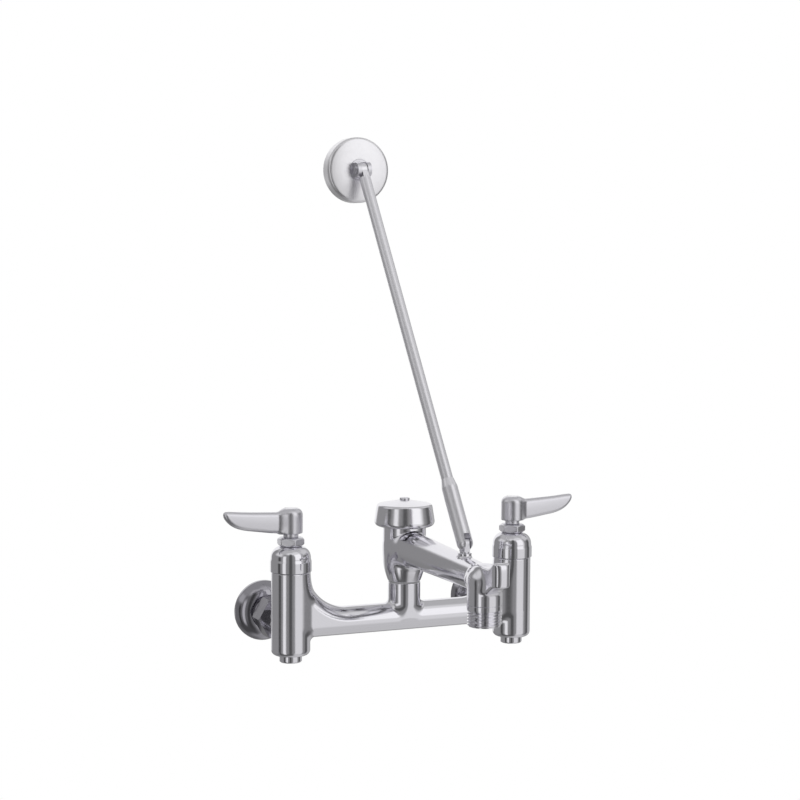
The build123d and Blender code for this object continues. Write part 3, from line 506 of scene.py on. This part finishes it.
def turned_piece(name, profile, origin, axis, material, reshape=None, steps=144):
    """A closed profile of radius and height carried round an axis in equal steps: each point is the
    origin, its radius along the turned direction and its height along the axis. reshape gives its
    radius again from its radius, height and turn."""
    axis = np.array(axis, float)
    first = np.array((1.0, 0, 0)) - axis * axis[0]
    first /= np.linalg.norm(first)
    second = np.cross(axis, first)
    following = np.roll(profile, -1, axis=0)
    if (profile[:, 0] * following[:, 1] - following[:, 0] * profile[:, 1]).sum() < 0:
        profile = profile[::-1]
    turn = np.linspace(0, 2 * np.pi, steps, endpoint=False)[None]
    radius, height = profile[:, :1] + 0 * turn, profile[:, 1:] + 0 * turn
    if reshape:
        radius = reshape(radius, height, turn)
    around = first * np.cos(turn)[..., None] + second * np.sin(turn)[..., None]
    points = np.array(origin) + radius[..., None] * around + height[..., None] * axis
    number = np.arange(radius.size).reshape(radius.shape)
    above, beside = np.roll(number, -1, axis=0), np.roll(number, -1, axis=1)
    faces = np.stack([number, beside, np.roll(above, -1, axis=1), above], axis=-1).reshape(-1, 4)
    piece = show_mesh(name, points.reshape(-1, 3), faces, material)
    piece.data.set_sharp_from_angle(angle=sharp_edge)
    return piece


def six_sided(radius, height, turn):
    """The nut's outside: the least of a hexagon's reach, its flat's over the cosine of the turn away
    from it, and of a cone's at each end that bevels its corners, with the meeting edges eased."""
    away = (np.degrees(turn) - nut_turn) % 60 - 30
    flat = nut_flat / np.cos(np.radians(away))
    cone = nut_bevel_radius + nut_bevel_slope * np.minimum(height - nut_foot, nut_top - height)
    near = np.maximum(nut_ease - np.abs(flat - cone), 0)
    outside = np.minimum(np.minimum(flat, cone) - near**2 / (4 * nut_ease), nut_corner)
    return np.where(radius > nut_inside, np.minimum(radius, outside), radius)


forged_chrome = chrome_plate("forged_chrome", 0.29, 0.34, 80.0, 0.00004, chrome_tint)
upright = (0, 0, 1)
bonnet_profile = rounded_profile(bonnet_corners)
nut_profile = rounded_profile(nut_corners, 0.48)
nut_steps = 240
for side, name in ((-1, "left"), (1, "right")):
    foot = (side * valve_x, -wall_to_valves, 0)
    bonnet = turned_piece(f"{name}_bonnet_turned", bonnet_profile, foot, upright, turned_chrome)
    nut = turned_piece(
        f"{name}_nut_turned", nut_profile, foot, upright, forged_chrome, six_sided, nut_steps
    )
    for piece, node in ((bonnet, "bonnet"), (nut, "packing_nut")):
        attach(piece, "faucet")
        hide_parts(f"{name}_{node}")


# Lever handles: cast, polished and plated. A domed hub grows into a tall blade whose belly sweeps up
# to a rounded tip; each is held on its stem by a screw under a bare button.
hub_foot = 75.6
hub_top = 96.2
hub_radius = 9.7
hub_rounding = 5.4
hub_foot_rounding = 1.0
skirt_radius = 6.2
skirt_foot = 72.36
skirt_top = 92.2
skirt_rim = 0.4
skirt_fillet = 0.6
# The blade: its side view from the stem's axis and the hub's foot, how thick half of it is at the
# axis and how much thinner at the tip, and the line where it is thickest, with what it loses at
# belly_reach above and below that line.
blade_corners = np.array(
    [
        (0, 0.2),
        (14, 0.3),
        (30, 2.6),
        (42, 4.2),
        (51.5, 8.0),
        (57.9, 15.0),
        (57.9, 19.9),
        (54, 20.4),
        (40, 19.0),
        (14, 17.8),
        (0, 17.4),
    ]
)
blade_length = 58.0
blade_half = 4.7
blade_taper = 1.5
belly_height = 8.8
belly_climb = 0.105
belly_reach = 9.0
belly_loss = 0.8
blade_edge = 3.4
blade_fillet = 3.5
# The hollows for the stem, the lever's screw and its head, each with its radius and both ends.
lever_bores = [(4.05, 70.0, 83.3), (2.05, 80.0, 100.0), (4.85, 90.6, 100.0)]


def rounded_off(corners, times):
    """A closed outline with each corner cut off again and again at a quarter of its sides, which
    tends to a smooth curve."""
    for _ in range(times):
        following = np.roll(corners, -1, axis=0)
        near, far = 0.75 * corners + 0.25 * following, 0.25 * corners + 0.75 * following
        corners = np.stack([near, far], axis=1).reshape(-1, 2)
    return corners


def outline_field(x, y, outline):
    """Distance in the plane to a closed outline, less than nought inside: the least distance to any
    of its sides, with the sign of how often a level line from the point crosses them."""
    far_off = 1e9
    least = np.full(np.broadcast(x, y).shape, far_off)
    inside = np.zeros(least.shape, bool)
    for (x0, y0), (x1, y1) in zip(outline, np.roll(outline, -1, axis=0)):
        along = ((x - x0) * (x1 - x0) + (y - y0) * (y1 - y0)) / ((x1 - x0) ** 2 + (y1 - y0) ** 2)
        along = np.clip(along, 0, 1)
        least = np.minimum(least, np.hypot(x - x0 - along * (x1 - x0), y - y0 - along * (y1 - y0)))
        if y0 != y1:
            spans = (y0 <= y) != (y1 <= y)
            inside ^= spans & (x < x0 + (y - y0) * (x1 - x0) / (y1 - y0))
    return np.where(inside, -least, least)


cut_times = 3
blade_outline = rounded_off(blade_corners, cut_times)


def lever_field(side):
    """Distance to the lever on one side of the faucet: a hub with a domed top, a blade and a skirt,
    joined by fillets, less the bores. The blade is its side view with a half thickness that falls
    evenly to the tip and with the square of the height from the belly's line."""

    def field(x, y, z):
        out, y = x * side - valve_x, y + wall_to_valves
        dome = upright_post(out, y, z, hub_radius, hub_foot, hub_top, hub_rounding)
        drum = upright_post(out, y, z, hub_radius, hub_foot, hub_top, hub_foot_rounding)
        hub = np.where(z < (hub_foot + hub_top) / 2, drum, dome)
        skirt = upright_post(out, y, z, skirt_radius, skirt_foot, skirt_top, skirt_rim)
        lift = (z - hub_foot - belly_height - belly_climb * out) / belly_reach
        half = blade_half - blade_taper * np.clip(out / blade_length, 0, 1) - belly_loss * lift**2
        blade = soft_cut(outline_field(out, z - hub_foot, blade_outline), np.abs(y) - half, blade_edge)
        solid = soft_join(soft_join(hub, blade, blade_fillet), skirt, skirt_fillet)
        hollow = nearest(*[upright_post(out, y, z, *bore, bore_rim) for bore in lever_bores])
        return np.maximum(solid, -hollow)

    return field


polished_chrome = chrome_plate("polished_chrome", 0.29, 0.33, 60.0, 0.00004, (0.83, 0.82, 0.865))
# The box that a lever is found in, from its stem's axis: along it, across it, and in height.
lever_ends = (-11.0, 59.0)
lever_half_width = 11.0
lever_low, lever_high = 72.0, 97.5
lever_pitch = 0.6
for side, name in ((-1, "left"), (1, "right")):
    near, far = sorted(side * (valve_x + end) for end in lever_ends)
    front, back = -wall_to_valves - lever_half_width, -wall_to_valves + lever_half_width
    box = (near, front, lever_low), (far, back, lever_high)
    lever = cast_piece(f"{name}_lever_casting", lever_field(side), *box, lever_pitch, polished_chrome)
    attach(lever, f"{name}_handle")
    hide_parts(f"{name}_lever")

finish_node(turned_chrome, *pair("lever_screw", "index_button"))


# Spout: one casting of the breaker's chamber, the spout, its outlet with a domed crown, the boss for
# the brace and the pail hook. It is ground, polished and plated like the body that it stands on.
spout_foot = 30.0
chamber_radius = 18.1
chamber_shoulder = 52.0
chamber_top = 80.0
chamber_rim = 0.6
# How far the spout reaches, and the height and radius of its middle line at either end.
spout_reach = 151.0
spout_root = (59.4, 14.9)
spout_tip = (55.4, 11.0)
# Its fillet with the chamber is tight down to a height, and grows over the drop below that.
root_fillet = 1.5
root_fillet_growth = 4.0
root_fillet_top = 72.0
root_fillet_drop = 12.0
outlet_radius = 13.6
outlet_seam = 36.0
outlet_crown = 66.5
outlet_rim = 0.4
outlet_fillet = 4.0
boss_reach = 115.7
boss_radius = 5.4
boss_top = 70.8
boss_rim = 0.6
boss_fillet = 1.6
# The hook's side view, from the outlet's axis and the CAD's own nought of height.
hook_end = 33.0
hook_half_width = 7.0
hook_edge = 2.0
hook_fillet = 3.0
hook_corners = np.array(
    [
        (-8, 46),
        (-8, 66.5),
        (10, 66.5),
        (20, 67.0),
        (27, 73.0),
        (31, 72.2),
        (hook_end, 69.5),
        (hook_end, 54.5),
        (31, 53.4),
        (26.5, 53.6),
        (20, 50.5),
        (13.6, 46),
    ]
)
hook_outline = rounded_off(hook_corners, cut_times)
# The bores, each with its radius and both ends: the standpipe, the chamber and the moat round the
# standpipe, the outlet and its thread; then the way through the spout and the stud's hole.
standpipe_bore = (8.5, 20.0, 57.0)
standpipe_radius = 10.5
chamber_bore = (14.5, 57.0, 90.0)
moat = (14.5, 47.0, 90.0)
outlet_bores = [(8.5, 30.0, 55.4), (11.05, 30.0, 43.3)]
spout_bore = (8.0, 11.0, spout_reach)
stud_bore = (3.05, 65.2, 80.0)


def chamber_field(x, y, z):
    """Distance to the breaker's chamber: a post whose neck narrows to the riser's radius on an arc that
    is upright at the shoulder. The distance beside the arc is taken level and shortened by its lean."""
    drop = chamber_shoulder - spout_foot
    step = chamber_radius - riser_radius
    arc = (step**2 + drop**2) / (2 * step)
    below = np.clip(chamber_shoulder - z, 0, drop)
    neck = chamber_radius - arc + np.sqrt(arc**2 - below**2)
    lean = np.sqrt(1 + below**2 / (arc**2 - below**2))
    end = np.abs(z - (spout_foot + chamber_top) / 2) - (chamber_top - spout_foot) / 2
    return soft_cut((np.hypot(x, y) - neck) / lean, end, chamber_rim)


def outlet_field(x, ahead, z):
    """Distance to the outlet: an upright post under half a ball of the same radius."""
    crown = np.sqrt(x**2 + ahead**2 + (z - outlet_crown + outlet_radius) ** 2) - outlet_radius
    post = upright_post(x, ahead, z, outlet_radius, outlet_seam, outlet_crown + 20, outlet_rim)
    return np.where(z > outlet_crown - outlet_radius, crown, post)


def hook_field(x, ahead, z):
    """Distance to the pail hook: its side view cut with its plan, two level sides that end in half a
    circle, with the edge rounded."""
    beyond = ahead - hook_end + hook_half_width
    plan = np.where(beyond > 0, np.hypot(x, beyond), np.abs(x)) - hook_half_width
    return soft_cut(outline_field(ahead, z, hook_outline), plan, hook_edge)


def spout_field(x, y, z):
    """Distance to the spout casting. The spout itself is a bar with round ends, whose height and radius
    change evenly from its root to its tip."""
    y = y + wall_to_valves
    reach, ahead = -y, -y - spout_reach
    share = np.clip(reach / spout_reach, 0, 1)
    past = np.maximum(ahead, 0) + np.maximum(-reach, 0)
    middle = spout_root[0] + (spout_tip[0] - spout_root[0]) * share
    thick = spout_root[1] + (spout_tip[1] - spout_root[1]) * share
    spout = np.sqrt(x**2 + (z - middle) ** 2 + past**2) - thick
    boss = upright_post(x, reach - boss_reach, z, boss_radius, spout_root[0], boss_top, boss_rim)
    low = smooth_step(np.clip((root_fillet_top - z) / root_fillet_drop, 0, 1))
    solid = soft_join(chamber_field(x, y, z), spout, root_fillet + root_fillet_growth * low)
    solid = soft_join(solid, outlet_field(x, ahead, z), outlet_fillet)
    solid = soft_join(solid, hook_field(x, ahead, z), hook_fillet)
    solid = soft_join(solid, boss, boss_fillet)
    hollow = nearest(
        upright_post(x, y, z, *standpipe_bore, bore_rim),
        upright_post(x, y, z, *chamber_bore, bore_rim),
        np.maximum(upright_post(x, y, z, *moat, bore_rim), standpipe_radius - np.hypot(x, y)),
        upright_post(x, z - middle, reach, *spout_bore, bore_rim),
        *[upright_post(x, ahead, z, *bore, bore_rim) for bore in outlet_bores],
        upright_post(x, reach - boss_reach, z, *stud_bore, bore_rim),
    )
    return np.maximum(solid, -hollow)


box = (-19.5, -254.0, 29.0), (19.5, -48.0, 81.0)
spout_pitch = 0.8
spout_casting = cast_piece("spout_casting", spout_field, *box, spout_pitch, cast_chrome)
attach(spout_casting, "faucet")
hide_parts("spout_body")


# Riser gasket: a flat ring cut from pale fibre sheet, squeezed between the riser's top and the foot
# of the spout's chamber, where its edge shows as a thin line.
fibre_dark, fibre_light = (0.30, 0.30, 0.31), (0.42, 0.42, 0.43)
fibre = mottled("gasket_fibre", fibre_dark, fibre_light, 500, 0.5, 0.7, 0.00002)
finish_node(fibre, "riser_gasket")


# Vacuum breaker: a bonnet of turned brass, drilled with air holes round a seat, over a moulded plastic
# float with a rubber washer. It stands in the chamber under the cap, where it can't be seen.
plastic_dark, plastic_light = (0.78, 0.78, 0.75), (0.86, 0.86, 0.83)
float_plastic = mottled("float_plastic", plastic_dark, plastic_light, 300, 0.35, 0.5, 0.00001)
finish_node(brass, "vent_bonnet")
finish_node(float_plastic, "vent_float")
finish_node(rubber, "float_washer")


# Cap: pressed from brass sheet, polished and plated. A slotted screw holds it on the breaker's post,
# over the air vents.
pressed_chrome = chrome_plate("pressed_chrome", 0.12, 0.20, 60.0, 0.00005, (0.9, 0.89, 0.93))
finish_node(pressed_chrome, "vent_cap")
finish_node(polished_chrome, "cap_screw")


# Hose outlet: turned brass with the coarse round thread of a garden hose, plated, and screwed up into
# the spout's outlet as far as its shoulder.
thread_foot = 19.5
thread_top = 33.0
thread_pitch = 2.209
thread_radius = 13.4
thread_depth = 1.25
thread_squareness = 2.2
thread_run_in = 1.6
thread_run_out = 1.2
thread_end = thread_top - 0.3
thread_inside = 12.0
waterway_radius = 8.5
shoulder_top = outlet_seam - 0.05
shoulder_root = 13.25
shoulder_root_top = outlet_seam + 0.6
outlet_corners = [
    (waterway_radius, thread_foot, 0.4),
    (12.1, thread_foot, 0.5),
    (thread_radius, thread_foot + 1.3, 0.3),
    (thread_radius, thread_top, 0),
    (outlet_radius, thread_top, 0.1),
    (outlet_radius, shoulder_top, 0.15),
    (shoulder_root, shoulder_top, 0),
    (shoulder_root, shoulder_root_top, 0),
    (11.0, shoulder_root_top, 0),
    (11.0, 43.0, 0),
    (waterway_radius, 43.0, 0),
]


def threaded(radius, height, turn):
    """A helix cut in the outside: its depth follows a rounded wave of the height less the turn's share
    of the pitch, and fades in and out at the thread's ends."""
    phase = 2 * np.pi * (height / thread_pitch - turn / (2 * np.pi))
    wave = 0.5 - 0.5 * np.tanh(thread_squareness * np.cos(phase)) / np.tanh(thread_squareness)
    run_in = np.clip((height - thread_foot) / thread_run_in, 0, 1)
    run_out = np.clip((thread_end - height) / thread_run_out, 0, 1)
    cut = thread_depth * wave * run_in * run_out
    return radius - np.where((radius > thread_inside) & (height < thread_end), cut, 0)


outlet_place = (0, -wall_to_valves - spout_reach, 0)
outlet_profile = rounded_profile(outlet_corners, 0.18)
outlet_steps = 180
hose_end = turned_piece(
    "hose_end", outlet_profile, outlet_place, upright, turned_chrome, threaded, outlet_steps
)
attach(hose_end, "faucet")
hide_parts("hose_outlet")


# Wall brace: a plated rod that slides in a slotted sleeve, pinned to the stud on the spout at its
# foot and to a clevis at the wall, which stands through a drum-shaped cover with a gently domed face.
# The tint, lighter than the other chrome's, is painted light that brightens the rod and sleeve.
drawn_chrome_painted_light = chrome_plate("drawn_chrome_painted_light", 0.30, 0.36, 110.0, 0.00006, (0.95, 0.94, 0.98))
finish_node(drawn_chrome_painted_light, "brace_rod", "brace_sleeve")
finish_node(polished_chrome, "brace_stud", "sleeve_pin", "sleeve_set_screw")
finish_node(polished_chrome, "clevis_pin", "brace_clevis")
cover_radius = 27.79
cover_depth = 14.0
cover_hole = 8.95
cover_wall = 1.5
cover_dome = 1.7
cover_edge = 3.0
dome_points = 12
dome_fillet = 12.0
dome_reach = np.linspace(cover_radius, cover_hole, dome_points)
dome_depth = cover_depth - cover_dome * ((dome_reach - cover_hole) / (cover_radius - cover_hole)) ** 2
brace_cover_corners = [
    (cover_radius, 0.0, 0),
    (cover_radius, dome_depth[0], cover_edge),
    *[(reach, depth, dome_fillet) for reach, depth in zip(dome_reach[2:-1], dome_depth[2:-1])],
    (cover_hole, cover_depth, 0.3),
    (cover_hole, cover_depth - cover_wall, 0),
    (cover_radius - cover_wall, dome_depth[0] - cover_wall, cover_edge - cover_wall),
    (cover_radius - cover_wall, 0.0, 0),
]
# The tint, lighter than the other chrome's, is painted light that brightens the cover.
satin_chrome_painted_light = chrome_plate("satin_chrome_painted_light", 0.29, 0.34, 40.0, 0.00008, (0.97, 0.96, 0.99))
cover_place = (-19.5, 0.0, 374.3)
cover_profile = rounded_profile(brace_cover_corners)
from_wall = (0, -1, 0)
brace_cover = turned_piece("brace_cover", cover_profile, cover_place, from_wall, satin_chrome_painted_light)
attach(brace_cover, "brace_wall_end")
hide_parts("brace_flange")


# Studio: a floor and a room. The camera sees both as plain white, and polished metal sees the room's
# soft-edged cards, which were set by the brightness along each piece in the photograph.
floor_height = -0.75
floor_reach = 6.0
floor_grey = (0.9, 0.9, 0.9, 1)
floor_roughness = 0.9
floor_mesh = bpy.data.meshes.new("floor")
floor_signs = (-1, -1), (1, -1), (1, 1), (-1, 1)
floor_corners = [(x * floor_reach, y * floor_reach, floor_height) for x, y in floor_signs]
floor_mesh.from_pydata(floor_corners, [], [(0, 1, 2, 3)])
floor = bpy.data.objects.new("floor", floor_mesh)
bpy.context.scene.collection.objects.link(floor)
floor.visible_glossy = False

floor_paint = bpy.data.materials.new("floor_paint")
floor_paint.use_nodes = True
tree = floor_paint.node_tree
matt = tree.nodes["Principled BSDF"]
matt.inputs["Base Color"].default_value = floor_grey
matt.inputs["Roughness"].default_value = floor_roughness
rays = tree.nodes.new("ShaderNodeLightPath")
white = tree.nodes.new("ShaderNodeEmission")
pick = tree.nodes.new("ShaderNodeMixShader")
tree.links.new(rays.outputs["Is Camera Ray"], pick.inputs["Fac"])
tree.links.new(matt.outputs["BSDF"], pick.inputs[1])
tree.links.new(white.outputs["Emission"], pick.inputs[2])
tree.links.new(pick.outputs["Shader"], tree.nodes["Material Output"].inputs["Surface"])
floor_mesh.materials.append(floor_paint)


def soft_card():
    """How far a direction lies in a soft-edged card: 1 inside its half width and half height, 0
    outside, eased over the edge. Directions are an azimuth from the wall and an elevation."""
    group, given, result = new_group(
        "soft_card",
        [
            ("Azimuth", 0.0),
            ("Elevation", 0.0),
            ("Middle", 0.0),
            ("Half Width", 20.0),
            ("Height", 0.0),
            ("Half Height", 30.0),
            ("Edge", 4.0),
            ("Rim", 10.0),
        ],
        [("Inside", "NodeSocketFloat")],
    )
    link = group.links.new

    def math(operation, *values):
        node = group.nodes.new("ShaderNodeMath")
        node.operation = operation
        for index, value in enumerate(values):
            if isinstance(value, (int, float)):
                node.inputs[index].default_value = value
            else:
                link(value, node.inputs[index])
        return node.outputs["Value"]

    def eased(offset, half, edge):
        node = group.nodes.new("ShaderNodeMapRange")
        node.interpolation_type = "SMOOTHSTEP"
        link(offset, node.inputs["Value"])
        link(math("ADD", half, edge), node.inputs["From Min"])
        link(math("SUBTRACT", half, edge), node.inputs["From Max"])
        return node.outputs["Result"]

    past_middle = math("SUBTRACT", given.outputs["Azimuth"], given.outputs["Middle"])
    turn = math("WRAP", past_middle, 180, -180)
    across = eased(math("ABSOLUTE", turn), given.outputs["Half Width"], given.outputs["Edge"])
    rise = math("ABSOLUTE", math("SUBTRACT", given.outputs["Elevation"], given.outputs["Height"]))
    along = eased(rise, given.outputs["Half Height"], given.outputs["Rim"])
    link(math("MULTIPLY", across, along), result.inputs["Inside"])
    return group


# Each card: its name, middle azimuth, half width, height, half height, edge and rim softness in
# degrees, and how bright it looks. Azimuth 0 is towards the wall, 90 to the right, 180 to the front.
room_level = 0.24
cards = [
    ("ceiling", 0, 180, 70, 28, 1, 10, 0.47),
    ("ceiling_front", 180, 50, 54, 10, 16, 6, 0.72),
    ("floor_right", 100, 75, -68, 26, 20, 12, 0.56),
    ("floor_left", -120, 60, -60, 28, 20, 12, 0.12),
    ("floor_under", 0, 180, -90, 12, 1, 14, 0.46),
    ("left_wall", -66, 44, 0, 34, 8, 12, 0.27),
    ("left_high", -80, 26, 31, 12, 12, 6, 0.66),
    ("left_flag", -93, 8, -16, 28, 5, 8, 0.07),
    ("backdrop", 10, 28, 12, 26, 5, 6, 0.92),
    ("right_wall", 66, 20, 5, 40, 8, 12, 0.46),
    ("right_flag", 98, 10, 0, 30, 6, 10, 0.10),
    ("right_high", 88, 30, 38, 15, 12, 8, 0.62),
    ("right_box", 153, 26, 14, 56, 8, 18, 0.72),
    ("right_core", 156, 20, 20, 24, 6, 4, 1.0),
    ("front", 182, 7, 0, 30, 5, 12, 0.26),
    ("camera_side", -159, 9, 0, 50, 5, 12, 0.085),
    ("key_box", -123, 9, -8, 34, 4, 10, 0.85),
]
world = bpy.data.worlds.new("studio")
bpy.context.scene.world = world
world.use_nodes = True
tree = world.node_tree
tree.nodes.clear()
make, link = tree.nodes.new, tree.links.new
place = make("ShaderNodeTexCoord")
split = make("ShaderNodeSeparateXYZ")
link(place.outputs["Generated"], split.inputs["Vector"])
angles = {}
for label, operation, inputs in (("Azimuth", "ARCTAN2", "XY"), ("Elevation", "ARCSINE", "Z")):
    angle = make("ShaderNodeMath")
    angle.operation = operation
    for index, axis in enumerate(inputs):
        link(split.outputs[axis], angle.inputs[index])
    degrees = make("ShaderNodeMath")
    degrees.operation = "DEGREES"
    link(angle.outputs["Value"], degrees.inputs[0])
    angles[label] = degrees.outputs["Value"]
card_group = soft_card()
room = None
for name, middle, half_width, height, half_height, edge, rim, level in cards:
    card = make("ShaderNodeGroup")
    card.node_tree = card_group
    card.label = name
    for label in angles:
        link(angles[label], card.inputs[label])
    settings = {"Middle": middle, "Half Width": half_width, "Height": height}
    settings |= {"Half Height": half_height, "Edge": edge, "Rim": rim}
    for label, value in settings.items():
        card.inputs[label].default_value = value
    mix = make("ShaderNodeMix")
    mix.data_type = "FLOAT"
    link(card.outputs["Inside"], mix.inputs["Factor"])
    if room is None:
        mix.inputs["A"].default_value = room_level
    else:
        link(room, mix.inputs["A"])
    mix.inputs["B"].default_value = level
    room = mix.outputs["Result"]

# The camera sees white, mirrors and glass see the cards, and everything else gets plain soft light.
soft_light = 0.8
rays = make("ShaderNodeLightPath")
mirrored = make("ShaderNodeMath")
mirrored.operation = "MAXIMUM"
link(rays.outputs["Is Glossy Ray"], mirrored.inputs[0])
link(rays.outputs["Is Transmission Ray"], mirrored.inputs[1])
in_mirrors = make("ShaderNodeMix")
in_mirrors.inputs["A"].default_value = soft_light
link(mirrored.outputs["Value"], in_mirrors.inputs["Factor"])
link(room, in_mirrors.inputs["B"])
to_camera = make("ShaderNodeMix")
link(rays.outputs["Is Camera Ray"], to_camera.inputs["Factor"])
link(in_mirrors.outputs["Result"], to_camera.inputs["A"])
to_camera.inputs["B"].default_value = 1.0
sky = make("ShaderNodeBackground")
link(to_camera.outputs["Result"], sky.inputs["Strength"])
output = make("ShaderNodeOutputWorld")
link(sky.outputs["Background"], output.inputs["Surface"])
sky.inputs["Color"].default_value = (1, 1, 1, 1)
